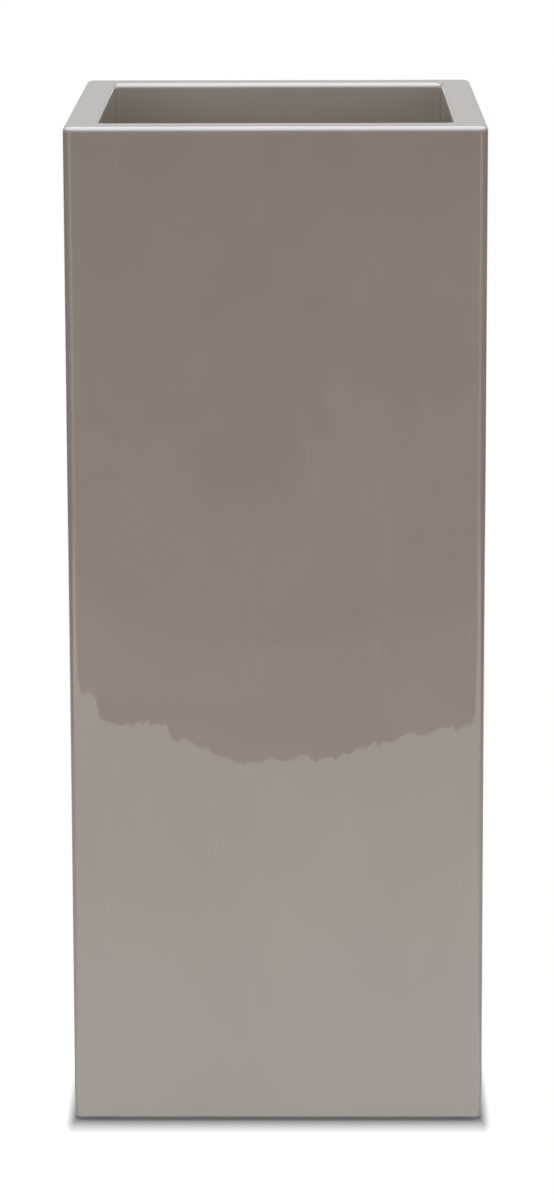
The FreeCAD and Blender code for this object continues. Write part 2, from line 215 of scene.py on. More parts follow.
def new_piece(name, points, quads, finishes, finish_of=None, spread=None, weld=False, turn_out=False):
    """A mesh object at the origin. spread is a length along and across the surface for each corner of
    each face, kept as its UV map. turn_out makes the faces of a closed shape point outwards, and with
    it weld joins the coincident points of a pole."""
    mesh = bpy.data.meshes.new(name)
    mesh.from_pydata(points.reshape(-1, 3).tolist(), [], quads.reshape(-1, 4).tolist())
    if spread is not None:
        layer = mesh.uv_layers.new(name="spread")
        layer.data.foreach_set("uv", spread.astype(np.float32).ravel())
    for finish in finishes:
        mesh.materials.append(finish)
    if finish_of is not None:
        mesh.polygons.foreach_set("material_index", finish_of.astype(np.int32).ravel())
    mesh.polygons.foreach_set("use_smooth", np.ones(len(mesh.polygons), bool))
    if turn_out:
        turned_out(mesh, weld)
    mesh.update()
    return linked(name, mesh)


def joined_quads(number, down, across):
    """Faces between neighbouring points of a numbered grid. down and across say whether its last row
    and its last column join the first."""
    below = np.roll(number, -1, axis=0) if down else number[1:]
    here = number if down else number[:-1]
    right_here = np.roll(here, -1, axis=1)
    right_below = np.roll(below, -1, axis=1)
    quads = np.stack([here, right_here, right_below, below], axis=2)
    return quads if across else quads[:, :-1]


def ring_piece(name, grid, finishes, finish_of_row=None):
    """A closed band of rows, each of which runs round the planter: rows and columns both join up. Its
    UV map is the length round its widest row and the length along one column."""
    rows, around = grid.shape[:2]
    quads = joined_quads(np.arange(rows * around).reshape(rows, around), True, True)
    widest = grid[np.argmax(np.abs(grid[:, 0, 1]))]
    along = lengths(widest, True)
    across = lengths(grid[:, around // 16], True)
    left, right, low, high = along[:-1], along[1:], across[:-1, None], across[1:, None]
    pairs = ((left, low), (right, low), (right, high), (left, high))
    corners = [np.stack(np.broadcast_arrays(*pair), 2) for pair in pairs]
    finish_of = None if finish_of_row is None else np.repeat(finish_of_row, around)
    return new_piece(name, grid, quads, finishes, finish_of, np.stack(corners, 2))


def slab_piece(name, face, back, finishes):
    """A closed sheet with thickness: two grids of points of the same shape, whose four edges are joined."""
    rows, columns = face.shape[:2]
    count = rows * columns
    number = np.arange(count).reshape(rows, columns)
    far = number + count
    rim = np.concatenate([number[0, :-1], number[:-1, -1], number[-1, :0:-1], number[:0:-1, 0]])
    after = np.roll(rim, -1)
    edge = np.stack([rim, after, after + count, rim + count], axis=1)
    front = joined_quads(number, False, False).reshape(-1, 4)
    behind = joined_quads(far, False, False).reshape(-1, 4)[:, ::-1]
    quads = np.concatenate([front, behind, edge])
    along = lengths(face[:, columns // 2], False)[:, None]
    across = lengths(face[rows // 2], False)[None, :]
    spot = np.stack(np.broadcast_arrays(along, across), axis=2).reshape(-1, 2)
    spread = np.concatenate([spot, spot])[quads]
    points = np.concatenate([face.reshape(-1, 3), back.reshape(-1, 3)])
    return new_piece(name, points, quads, finishes, None, spread, turn_out=True)


def turned_piece(name, profile, middle, steps, finishes):
    """A round piece: the profile (radius, height), which starts and ends on the axis, turned about the
    upright line through middle."""
    angle = 2 * math.pi * np.arange(steps) / steps
    radius, height = np.asarray(profile).T[:, :, None]
    across = middle[0] + radius * np.cos(angle)
    deep = middle[1] + radius * np.sin(angle)
    grid = np.stack([across, deep, np.broadcast_to(height, across.shape)], axis=2)
    quads = joined_quads(np.arange(grid.shape[0] * steps).reshape(-1, steps), False, True)
    return new_piece(name, grid, quads, finishes, weld=True, turn_out=True)


def rounded_profile(corners, steps=5):
    """A profile through (radius, height, rounding) corners, where each rounded one becomes a quadratic
    curve between the two points that lie its rounding away along its two edges."""
    corners = np.asarray(corners, float)
    spots = corners[:, :2]
    points = [spots[:1]]
    share = np.linspace(0, 1, steps + 1)[:, None]
    for before, here, after, rounding in zip(spots, spots[1:], spots[2:], corners[1:, 2]):
        begin = here + (before - here) * rounding / np.linalg.norm(before - here)
        end = here + (after - here) * rounding / np.linalg.norm(after - here)
        points.append((1 - share) ** 2 * begin + 2 * share * (1 - share) * here + share**2 * end)
    points.append(spots[-1:])
    return np.concatenate(points)


# ---- Finishes ----

class Finish:
    """A material under construction: nodes are added with their inputs, where an input is a number,
    a colour or the (node, output) that feeds it."""

    def __init__(self, name, tree=None):
        if tree is None:
            self.material = bpy.data.materials.new(name)
            self.material.use_nodes = True
            tree = self.material.node_tree
            tree.nodes.clear()
        self.tree = tree

    def feed(self, socket, value):
        if isinstance(value, tuple) and isinstance(value[0], bpy.types.Node):
            self.tree.links.new(value[0].outputs[value[1]], socket)
        else:
            socket.default_value = value

    def add(self, kind, inputs=(), **settings):
        node = self.tree.nodes.new("ShaderNode" + kind)
        for name, value in settings.items():
            setattr(node, name, value)
        for name, value in dict(inputs).items():
            self.feed(node.inputs[name], value)
        return node

    def noise(self, where, scale, detail=2.0, roughness=0.5, twist=0.0, **settings):
        inputs = {"Vector": where, "Scale": scale, "Detail": detail, "Roughness": roughness}
        inputs["Distortion"] = twist
        return self.add("TexNoise", inputs, **settings), "Fac"

    def vector(self, operation, *values):
        output = "Value" if operation == "LENGTH" else "Vector"
        return self.add("VectorMath", dict(enumerate(values)), operation=operation), output

    def stretched(self, where, by):
        return self.vector("MULTIPLY", where, by)

    def place(self):
        return self.add("TexCoord"), "Object"

    def parts(self, vector):
        node = self.add("SeparateXYZ", {"Vector": vector})
        return (node, "X"), (node, "Y"), (node, "Z")

    def remap(self, value, low, high, to_low=0.0, to_high=1.0, smooth=True):
        inputs = {"Value": value, "From Min": low, "From Max": high, "To Min": to_low, "To Max": to_high}
        kind = "SMOOTHSTEP" if smooth else "LINEAR"
        return self.add("MapRange", inputs, interpolation_type=kind), "Result"

    def math(self, operation, first, second=0.5):
        return self.add("Math", {0: first, 1: second}, operation=operation), "Value"

    def plus(self, first, second):
        return self.math("ADD", first, second)

    def minus(self, first, second):
        return self.math("SUBTRACT", first, second)

    def times(self, first, second):
        return self.math("MULTIPLY", first, second)

    def blend(self, amount, first, second, kind="MIX"):
        node = self.add("Mix", data_type="RGBA", blend_type=kind)
        for name, value in (("Factor_Float", amount), ("A_Color", first), ("B_Color", second)):
            self.feed(next(s for s in node.inputs if s.identifier == name), value)
        return node, next(i for i, s in enumerate(node.outputs) if s.identifier == "Result_Color")

    def bump(self, height, depth, normal=None):
        inputs = {"Height": height, "Strength": 1.0, "Distance": depth}
        if normal:
            inputs["Normal"] = normal
        return self.add("Bump", inputs), "Normal"

    def surface(self, shader):
        self.add("OutputMaterial", {"Surface": shader})
        return self.material

    def finished(self, inputs):
        return self.surface((self.add("BsdfPrincipled", inputs), "BSDF"))


def shade(colour, factor=1.0):
    """The colour made darker or lighter by the factor, with full alpha."""
    return tuple(c * factor for c in colour) + (1.0,)


LACQUER = (0.230, 0.201, 0.172)
LACQUER_DRIFT = (0.230, 0.203, 0.177)
RESIN = (0.215, 0.195, 0.150)
GLASS = (0.420, 0.405, 0.340)
TAPE_RESIN = (0.270, 0.260, 0.195)
TAPE_GLASS = (0.44, 0.44, 0.36)
BOARD = (0.062, 0.063, 0.066)
BOARD_FLECK = (0.14, 0.14, 0.14)
BOARD_SCUFF = (0.16, 0.16, 0.165)
RUBBER = (0.022, 0.022, 0.023)
RUBBER_DUST = (0.060, 0.058, 0.055)
STRAND_HEADINGS = (0.2, 0.85, 1.5, 2.15, 2.75)
STRAND_LENGTH = 0.030
STRAND_WIDTH = 0.0016
STRAND_BEND = 0.012
ROVING = 0.0042  # width of one roving of the woven tape


def gloss_lacquer():
    """Greige lacquer polished to a mirror: clouded and smeared a little, with a few dark specks, faint
    orange peel, the ghost of the glass mat under it and patches where the polish is less sharp."""
    make = Finish("greige_gloss_lacquer")
    where = make.place()
    clouds = make.noise(where, scale=4.2, detail=3.0, roughness=0.55, twist=0.4)
    drift = make.noise(make.stretched(where, (1.0, 1.0, 0.35)), scale=11.0)
    wiped = make.stretched(where, (22.0, 22.0, 7.0))
    smears = make.noise(wiped, scale=1.0, detail=4.0, roughness=0.62, twist=0.8)
    tint = make.blend(make.remap(clouds, 0.3, 0.7), shade(LACQUER, 0.95), shade(LACQUER, 1.04))
    tint = make.blend(make.remap(drift, 0.35, 0.65, 0.0, 0.5), tint, shade(LACQUER_DRIFT, 0.985))
    tint = make.blend(make.remap(smears, 0.52, 0.70, 0.0, 0.28), tint, shade(LACQUER, 1.10))
    specks = make.add("TexVoronoi", {"Vector": where, "Scale": 34.0, "Randomness": 1.0})
    dot = make.remap((specks, "Distance"), 0.030, 0.018)
    tint = make.blend(make.times(dot, 0.35), tint, shade(LACQUER, 0.45))
    haze = make.noise(make.stretched(where, (1.0, 1.0, 0.5)), scale=26.0, detail=3.0, roughness=0.6)
    peel = make.noise(where, scale=210.0, detail=1.0)
    ghost = make.noise(where, scale=70.0, roughness=0.6)
    normal = make.bump(ghost, depth=0.000008, normal=make.bump(peel, depth=0.000002))
    return make.finished({
        "Base Color": tint,
        "Roughness": make.remap(haze, 0.42, 0.75, 0.010, 0.030),
        "IOR": 1.6,
        "Coat Weight": 1.0,
        "Coat Roughness": 0.008,
        "Coat IOR": 1.5,
        "Normal": normal,
        "Coat Normal": normal,
    })


def strand_layers(make, where):
    """Chopped glass strands: for each heading the surface, bent a little, is turned and drawn out to
    the strands' length and width, and noise above a threshold is a strand. The layers' largest value
    is kept."""
    bent = make.add("TexNoise", {"Vector": where, "Scale": 9.0, "Detail": 1.0})
    moved = make.vector("ADD", where, make.stretched((bent, "Color"), (STRAND_BEND,) * 3))
    found = None
    for number, heading in enumerate(STRAND_HEADINGS):
        turned = make.add("VectorRotate", {"Vector": moved, "Angle": heading}, rotation_type="Z_AXIS")
        drawn = make.stretched((turned, "Vector"), (1 / STRAND_LENGTH, 1 / STRAND_WIDTH, 1.0))
        placed = make.vector("ADD", drawn, (7.3 * number, 3.1 * number, 0.0))  # its own part of the noise
        lines = make.noise(placed, scale=1.0, detail=0.5, noise_dimensions="2D")
        strand = make.remap(lines, 0.56, 0.68)
        found = strand if found is None else make.math("MAXIMUM", found, strand)
    return found


def bare_laminate():
    """Chopped-strand laminate seen from the side away from the mould: resin over a tangle of strands."""
    make = Finish("chopped_strand_laminate")
    where = (make.add("UVMap", uv_map="spread"), "UV")
    strands = strand_layers(make, where)
    pools = make.noise(where, scale=24.0, detail=3.0, roughness=0.6)
    coarse = make.noise(where, scale=90.0, detail=3.0, roughness=0.6)
    tint = make.blend(make.remap(pools, 0.32, 0.68), shade(RESIN, 0.86), shade(RESIN, 1.18))
    cover = make.times(strands, make.remap(coarse, 0.25, 0.7, 0.30, 0.80))
    tint = make.blend(cover, tint, shade(GLASS))
    uneven = make.bump(pools, depth=0.0012, normal=make.bump(coarse, depth=0.00035))
    return make.finished({
        "Base Color": tint,
        "Roughness": make.remap(strands, 0.0, 1.0, 0.34, 0.56),
        "IOR": 1.53,
        "Normal": make.bump(strands, depth=0.00022, normal=uneven),
    })


def laminate_tape():
    """Woven glass tape wetted out with resin: flat rovings over and under each other, greener and
    glossier than the mat."""
    make = Finish("woven_glass_tape")
    where = (make.add("UVMap", uv_map="spread"), "UV")
    along, across, _ = make.parts(make.stretched(where, (1 / ROVING, 1 / ROVING, 1.0)))
    wander = make.noise(where, scale=60.0, detail=1.0)
    along = make.plus(along, make.times(wander, 0.5))
    across = make.plus(across, make.times(wander, 0.4))
    warp = make.math("ABSOLUTE", make.math("SINE", make.times(along, math.pi)))
    weft = make.math("ABSOLUTE", make.math("SINE", make.times(across, math.pi)))
    cell = make.math("FLOOR", along)
    row = make.math("FLOOR", across)
    over = make.math("MODULO", make.math("ABSOLUTE", make.plus(cell, row)), 2.0)
    other = make.minus(1.0, over)
    height = make.plus(make.times(over, warp), make.times(other, weft))
    pools = make.noise(where, scale=30.0, detail=3.0)
    tint = make.blend(make.remap(pools, 0.3, 0.7), shade(TAPE_RESIN, 0.85), shade(TAPE_RESIN, 1.1))
    shown = make.times(make.remap(height, 0.2, 1.0), make.remap(pools, 0.2, 0.65, 0.75, 0.35))
    tint = make.blend(shown, tint, shade(TAPE_GLASS))
    normal = make.bump(height, depth=0.00035, normal=make.bump(pools, depth=0.0009))
    return make.finished({
        "Base Color": tint,
        "Roughness": make.remap(pools, 0.3, 0.7, 0.22, 0.42),
        "IOR": 1.54,
        "Normal": normal,
    })


def shelf_board():
    """Recycled black plastic board: fine pebbling, paler flecks and a few long scuffs."""
    make = Finish("pebbled_black_board")
    where = make.place()
    pebble = make.add("TexVoronoi", {"Vector": where, "Scale": 620.0}, feature="SMOOTH_F1")
    broad = make.noise(where, scale=14.0, detail=4.0, roughness=0.6)
    scuffs = make.noise(make.stretched(where, (14.0, 260.0, 60.0)), scale=1.0, twist=0.6)
    flecks = make.noise(where, scale=900.0, detail=1.0)
    tint = make.blend(make.remap(broad, 0.3, 0.7), shade(BOARD, 0.82), shade(BOARD, 1.2))
    tint = make.blend(make.remap(flecks, 0.66, 0.74, 0.0, 0.35), tint, shade(BOARD_FLECK))
    tint = make.blend(make.remap(scuffs, 0.66, 0.78, 0.0, 0.4), tint, shade(BOARD_SCUFF))
    normal = make.bump((pebble, "Distance"), depth=0.00025, normal=make.bump(broad, depth=0.0006))
    return make.finished({
        "Base Color": tint,
        "Roughness": make.remap(broad, 0.3, 0.7, 0.38, 0.52),
        "IOR": 1.5,
        "Normal": normal,
    })


def black_rubber():
    """Moulded black rubber: matt, with dust in its fine grain."""
    make = Finish("matt_black_rubber")
    where = make.place()
    grain = make.noise(where, scale=1400.0)
    dust = make.noise(where, scale=130.0, detail=4.0, roughness=0.65)
    tint = make.blend(make.remap(dust, 0.45, 0.75, 0.0, 0.5), shade(RUBBER), shade(RUBBER_DUST))
    return make.finished({
        "Base Color": tint,
        "Roughness": make.remap(dust, 0.3, 0.7, 0.62, 0.82),
        "IOR": 1.52,
        "Normal": make.bump(grain, depth=0.00012),
    })


# ---- Pieces ----

BOW = 0.0004  # the broad sides fall in this much at their middle
BOW_WHOLE = (0.25, 0.68)  # heights between which they do so fully
SIDE_SWELLS = ((0.24, 0.000045, 11), (0.075, 0.0000065, 31))  # wavelength, height and seed
SWELL_FADE = 0.03  # the swells fade out this far from an upright edge
SWELL_CLEAR = 0.008  # and leave this much alone at the top and the bottom
LAMINATE_WAVE = 0.045
LAMINATE_SWELL = 0.00022
LAMINATE_SEED = 71
PANEL_WAVE = 0.05
PANEL_SWELL = 0.0003
PANEL_SEED = 5
TAPE_SEED = 100
LEDGE_SEED = 200
STRIP_STEP = 0.004  # length of a strip between two of its sections


def wall_profile():
    """The shell's section as rows of (half width, corner centre, height): up the outside, in across the
    rim, down and round the lip, up under the rim, down the cavity, in over the base flange and back
    out under it. Also gives how many of the rows are lacquered."""
    edge = OUTSIDE - EDGE_RADIUS
    opening = OPENING - OPENING_CORNER
    cavity = INSIDE - CAVITY_CORNER
    flange = BASE_OPENING - OPENING_CORNER
    lip_back = OPENING + WALL
    lip_foot = RIM_TOP - LIP_DEPTH
    ceiling = RIM_TOP - WALL
    floor = BOTTOM + WALL
    foot, brow, roll = OUTSIDE - BASE_RADIUS, OUTSIDE - RIM_RADIUS, OPENING + LIP_RADIUS
    tight, hollow, round_in, cut = SUPPORT, CAVITY_HOLLOW, FLANGE_HOLLOW, CUT_EDGE
    outside = [
        turn((foot, BOTTOM + BASE_RADIUS), BASE_RADIUS, -90, 0, 8, edge),
        run((OUTSIDE, edge, BOTTOM + BASE_RADIUS), (OUTSIDE, edge, RIM_TOP - RIM_RADIUS), 112, 0.85),
        turn((brow, RIM_TOP - RIM_RADIUS), RIM_RADIUS, 0, 90, 12, edge),
        run((brow, edge, RIM_TOP), (brow - tight, edge - tight, RIM_TOP), 1),
        run((brow - tight, edge - tight, RIM_TOP), (roll + tight, opening, RIM_TOP), 6),
        run((roll + tight, opening, RIM_TOP), (roll, opening, RIM_TOP), 1),
        turn((roll, RIM_TOP - LIP_RADIUS), LIP_RADIUS, 90, 180, 12, opening),
        run((OPENING, opening, RIM_TOP - LIP_RADIUS), (OPENING, opening, lip_foot + cut), 14, 0.8),
    ]
    inside = [
        turn((OPENING + cut, lip_foot + cut), cut, 180, 270, 4, opening),
        run((OPENING + cut, opening, lip_foot), (lip_back - cut, opening, lip_foot), 1),
        turn((lip_back - cut, lip_foot + cut), cut, 270, 360, 4, opening),
        run((lip_back, opening, lip_foot + cut), (lip_back, opening, ceiling - hollow), 10, 0.5),
        turn((lip_back + hollow, ceiling - hollow), hollow, 180, 90, 6, opening),
        run((lip_back + hollow, opening, ceiling), (INSIDE - hollow, cavity, ceiling), 3),
        turn((INSIDE - hollow, ceiling - hollow), hollow, 90, 0, 6, cavity),
        run((INSIDE, cavity, ceiling - hollow), (INSIDE, cavity, floor + round_in), 70, 0.4),
        turn((INSIDE - round_in, floor + round_in), round_in, 0, -90, 4, cavity),
        run((INSIDE - round_in, cavity, floor), (BASE_OPENING + cut, flange, floor), 4),
        turn((BASE_OPENING + cut, floor - cut), cut, 90, 180, 3, flange),
        run((BASE_OPENING, flange, floor - cut), (BASE_OPENING, flange, BOTTOM + cut), 1),
        turn((BASE_OPENING + cut, BOTTOM + cut), cut, 180, 270, 3, flange),
        run((BASE_OPENING + cut, flange, BOTTOM), (foot - tight, edge - tight, BOTTOM), 5),
        run((foot - tight, edge - tight, BOTTOM), (foot, edge, BOTTOM), 1),
    ]
    return np.concatenate(outside + inside), sum(len(part) for part in outside)


def make_shell(lacquer, laminate):
    """The moulding. Each broad side is moved along its outward direction by a shallow bow and by long
    and short swells of its own, which fade out at its ends. The laminate inside has a rougher swell."""
    path = square_path(52, 10)
    centres, outward, side = path
    profile, lacquered = wall_profile()
    grid = carried_round(profile, path)
    along = np.where(side % 2 == 0, grid[:, :, 0], grid[:, :, 1])
    height = grid[:, :, 2]
    flat = OUTSIDE - EDGE_RADIUS
    straight = np.abs(centres).min(1) < 1 - SAME
    from_edge = flat - np.abs(along)
    window = ease(from_edge, 0, SWELL_FADE) * ease(height, BOTTOM + SWELL_CLEAR, 0.06)
    window = window * (1 - ease(height, RIM_TOP - 0.05, RIM_TOP - SWELL_CLEAR))
    move = -BOW * ease(from_edge, 0, flat) * ease(height, 0.0, BOW_WHOLE[0])
    move = move * (1 - ease(height, BOW_WHOLE[1], RIM_TOP))
    swells = np.zeros_like(height)
    for number in range(4):
        mine = side == number
        for wavelength, rise, seed in SIDE_SWELLS:
            swells[:, mine] += rise * swell(along[:, mine], height[:, mine], wavelength, seed + number)
    outer = (profile[:, 0] > OUTSIDE - SAME)[:, None] & straight
    shift = np.where(outer, move + swells * window, 0)
    inner_rows = np.arange(len(profile)) >= lacquered
    cavity = (inner_rows & (profile[:, 0] > INSIDE - SAME))[:, None] & straight
    rough = LAMINATE_SWELL * swell(along, height, LAMINATE_WAVE, LAMINATE_SEED)
    rough = rough * ease(from_edge, CAVITY_CORNER, SWELL_FADE)
    shift = shift - np.where(cavity, np.abs(rough) * ease(height, 0.02, 0.07), 0)
    grid[:, :, :2] += shift[:, :, None] * outward
    piece = ring_piece("planter_shell", grid, [lacquer, laminate], inner_rows.astype(int))
    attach(piece, "planter")
    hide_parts("shell")


def make_base_panel(laminate):
    """The panel over the base flange. Its rings go from the drain hole's circle to the panel's square:
    a point is the circle's share times the circle plus the rest times the square. The top dips unevenly.
    Its UV map is its plan."""
    centres, outward, _ = square_path(40, 6)
    half, bevel, low, high = panel_high.x, PANEL_BEVEL, panel_low.z, panel_high.z
    inner = DRAIN_HOLE + 2 * bevel
    rings = [(DRAIN_HOLE + bevel, 1.0, low), (inner, 1.0, low)]
    rings += [(half - 2 * bevel, 0.0, low), (half - bevel, 0.0, low)]
    rings += [(half, 0.0, low + bevel), (half, 0.0, high - bevel)]
    rings += [(half - bevel + (inner - half) * t, t**2, high) for t in np.linspace(0, 1, 14)]
    rings += [(DRAIN_HOLE, 1.0, high - bevel), (DRAIN_HOLE, 1.0, low + bevel)]
    size, circle, height = np.array(rings).T[:, :, None]
    outline = (half - PANEL_CORNER) * centres + PANEL_CORNER * outward
    square = outline[None] / half * size[..., None]
    heading = np.arctan2(outline[:, 1], outline[:, 0])
    round_part = size[..., None] * np.stack([np.cos(heading), np.sin(heading)], axis=1)[None]
    flat = circle[..., None] * round_part + (1 - circle[..., None]) * square
    radius = np.linalg.norm(flat, axis=2)
    dip = np.abs(PANEL_SWELL * swell(flat[..., 0], flat[..., 1], PANEL_WAVE, PANEL_SEED))
    height = height - np.where(height > high - SAME, dip * ease(radius, 0.02, 0.05), 0)
    grid = np.concatenate([flat, height[..., None]], axis=2)
    piece = ring_piece("drained_base_panel", grid, [laminate])
    corners = np.empty(len(piece.data.loops), np.int32)
    piece.data.loops.foreach_get("vertex_index", corners)
    plan = grid.reshape(-1, 3)[corners, :2].astype(np.float32)
    piece.data.uv_layers["spread"].data.foreach_set("uv", plan.ravel())
    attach(piece, "planter")
    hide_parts("base_panel")


def angle_section(across, down, thickness, hollow, taper, feather):
    """Face and back of an angle section, as grids of (from the wall, along the wall). across and down
    are the two legs' lengths at each place along the strip. The face runs along one leg, round the
    hollow and out along the other; near both free edges its thickness eases down to a share, feather."""
    share = np.linspace(0, 1, 16)[None, :]
    turned = np.linspace(0, QUARTER, 8)[None, 1:-1]
    start = thickness + hollow
    fall = down[:, None] + (start - down[:, None]) * share
    out = start + (across[:, None] - start) * share
    bend_x = thickness + hollow * (1 - np.sin(turned))[:, ::-1] + 0 * down[:, None]
    bend_y = thickness + hollow * (1 - np.cos(turned))[:, ::-1] + 0 * down[:, None]
    thin_down = thickness * (feather + (1 - feather) * ease(down[:, None] - fall, 0, taper))
    thin_out = thickness * (feather + (1 - feather) * ease(across[:, None] - out, 0, taper))
    face = np.stack([
        np.concatenate([thin_down, bend_x, out], axis=1),
        np.concatenate([fall, bend_y, thin_out], axis=1),
    ], axis=2)
    spread = np.linspace(0, 1, bend_x.shape[1] + 2)[None, 1:-1] + 0 * down[:, None]
    near_x = start * np.clip(2 * spread - 1, 0, 1)
    near_y = start * np.clip(1 - 2 * spread, 0, 1)
    back = np.stack([
        np.concatenate([0 * fall, near_x, out], axis=1),
        np.concatenate([fall, near_y, 0 * out], axis=1),
    ], axis=2)
    return face, back


def ragged_leg(leg, ragged, spot, wavelength, seed):
    """A leg's length at each spot along the strip: cut back by between none and all of ragged."""
    return leg - ragged * (0.5 + 0.5 * np.clip(swell(spot, 0 * spot, wavelength, seed) / 1.6, -1, 1))


def strip_piece(
    name, side, high, legs, base, finish, seed, upward, thickness, hollow, taper, feather, ragged,
):
    """An angle strip laid along one wall. Its section is carried along the wall, its two free edges
    wander by ragged, its face swells by up to a tenth of its thickness and its ends are feathered like
    its edges. upward is 1 where the leg along the wall goes up from base and -1 where it goes down;
    then the face on the other leg, which a piece rests on, stays flat."""
    half_length = high.x if side % 2 == 0 else high.y
    steps = max(60, int(half_length * 2 / STRIP_STEP))
    spot = np.linspace(-half_length, half_length, steps)
    across = ragged_leg(legs[0], ragged, spot, wavelength=0.035, seed=seed)
    down = ragged_leg(legs[1], ragged, spot, wavelength=0.045, seed=seed + 50)
    face, back = angle_section(across, down, thickness, hollow, taper, feather)
    thin_end = feather + (1 - feather) * ease(half_length - np.abs(spot), 0, taper)
    along_face = lengths(face[steps // 2], False)[None, :]
    wobble = swell(spot[:, None], along_face, wavelength=0.03, seed=seed + 90)
    keep = (thin_end[:, None] * (1 - 0.05 * (1 + np.clip(wobble / 2, -1, 1))))[..., None]
    if upward < 0:
        keep = np.where(np.abs(back[..., 1:]) < 1e-9, thin_end[:, None, None], keep)
    face = back + (face - back) * keep
    angle = side * QUARTER
    outward = np.array([math.sin(angle), -math.cos(angle), 0.0])
    along = np.array([math.cos(angle), math.sin(angle), 0.0])
    up = np.array([0.0, 0.0, upward])

    def placed(section):
        from_wall = (INSIDE - section[..., :1]) * outward
        return from_wall + section[..., 1:] * up + spot[:, None, None] * along + np.array([0.0, 0.0, base])

    return slab_piece(name, placed(face), placed(back), [finish])


def make_base_tapes(finish):
    """Woven tape in the corner between the base panel and each wall."""
    leg = tape_high.z - tape_low.z
    for number, name in enumerate(SIDE_NAMES):
        _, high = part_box(f"base_tape_{name}")
        piece = strip_piece(
            f"woven_tape_{name}", number, high, (leg, leg), panel_high.z, finish, TAPE_SEED + number,
            upward=1.0, thickness=TAPE_THICKNESS, hollow=TAPE_HOLLOW,
            taper=0.010, feather=0.22, ragged=0.003,
        )
        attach(piece, "planter")
        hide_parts(f"base_tape_{name}")


def make_shelf_ledges(finish):
    """Laminate angles with the shelf's weight on their flat tops."""
    legs = (INSIDE - abs(ledge_high.y), ledge_high.z - ledge_low.z)
    for number, name in enumerate(SIDE_NAMES):
        _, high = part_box(f"shelf_ledge_{name}")
        piece = strip_piece(
            f"laminate_ledge_{name}", number, high, legs, ledge_high.z, finish, LEDGE_SEED + number,
            upward=-1.0, thickness=LEDGE_THICKNESS, hollow=LEDGE_HOLLOW,
            taper=0.003, feather=0.55, ragged=0.0012,
        )
        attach(piece, "planter")
        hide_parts(f"shelf_ledge_{name}")


def add_outline(curve, points):
    """A closed polyline through the points, in the curve's own plane."""
    spline = curve.splines.new("POLY")
    spline.points.add(len(points) - 1)
    spline.points.foreach_set("co", np.c_[points, np.zeros(len(points)), np.ones(len(points))].ravel())
    spline.use_cyclic_u = True


def make_shelf(finish):
    """The loose board: a flat outline with its finger slots and drain holes, filled, given its
    thickness and rounded along every edge by the curve's own bevel."""
    curve = bpy.data.curves.new("lift_out_shelf", "CURVE")
    curve.dimensions = "2D"
    curve.fill_mode = "BOTH"
    thickness = shelf_high.z - shelf_low.z
    curve.extrude = thickness / 2 - SHELF_EDGE
    curve.bevel_depth = SHELF_EDGE
    curve.bevel_resolution = 4
    curve.offset = -SHELF_EDGE
    centres, outward, _ = square_path(8, 12)
    add_outline(curve, (shelf_high.x - SHELF_CORNER) * centres + SHELF_CORNER * outward)
    angle = np.linspace(0, math.pi, 21)
    end_radius = SLOT_WIDTH / 2
    straight = SLOT_LENGTH / 2 - end_radius
    for reach in (-SLOT_REACH, SLOT_REACH):
        upper = np.c_[reach + end_radius * np.cos(angle), straight + end_radius * np.sin(angle)]
        lower = np.c_[reach - end_radius * np.cos(angle), -straight - end_radius * np.sin(angle)]
        add_outline(curve, np.concatenate([upper, lower]))
    ring = 2 * math.pi * np.arange(36) / 36
    circle = SHELF_DRAIN * np.c_[np.cos(ring), np.sin(ring)]
    add_outline(curve, circle)
    for place in 2 * math.pi * np.arange(DRAIN_COUNT) / DRAIN_COUNT:
        add_outline(curve, circle + DRAIN_RING * np.array([math.cos(place), math.sin(place)]))
    maker = linked("shelf_outline", curve)
    mesh = bpy.data.meshes.new_from_object(maker)
    mesh.name = "lift_out_shelf"
    bpy.data.objects.remove(maker)
    bpy.data.curves.remove(curve)
    mesh.transform(Matrix.Translation((0, 0, (shelf_low.z + shelf_high.z) / 2)))
    turned_out(mesh, weld=True, level=LEVEL_FACE)
    mesh.materials.clear()
    mesh.materials.append(finish)
    piece = linked("lift_out_shelf", mesh)
    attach(piece, "shelf")
    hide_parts("shelf")


def make_drain_plug(finish):
    """The plug: a dished head under the base, a shank with two sealing beads and a hollow nose."""
    low, high = plug_low.z, plug_high.z
    neck = low + PLUG_HEAD_DEPTH
    shank = PLUG_SHANK - PLUG_BEAD
    profile = [
        (0, low + PLUG_DISH, 0),
        (0.0085, low + PLUG_DISH, 0.0008),
        (0.0100, low, 0.0008),
        (PLUG_HEAD, low, 0.0011),
        (PLUG_HEAD, neck, 0.0009),
        (shank, neck, 0.0003),
    ]
    for start in PLUG_BEADS_AT:
        profile.append((shank, neck + start, 0.0006))
        profile.append((PLUG_SHANK, neck + start + PLUG_BEAD_HALF, 0.0007))
        profile.append((shank, neck + start + 2 * PLUG_BEAD_HALF, 0.0006))
    profile += [
        (shank - PLUG_LEAD, high, 0.0010),
        (0.0090, high, 0.0008),
        (0.0082, high - PLUG_HOLLOW, 0.0012),
        (0, high - PLUG_HOLLOW, 0),
    ]
    piece = turned_piece("rubber_drain_plug", rounded_profile(profile), (0.0, 0.0), 72, [finish])
    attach(piece, "drain_plug")
    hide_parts("drain_plug")


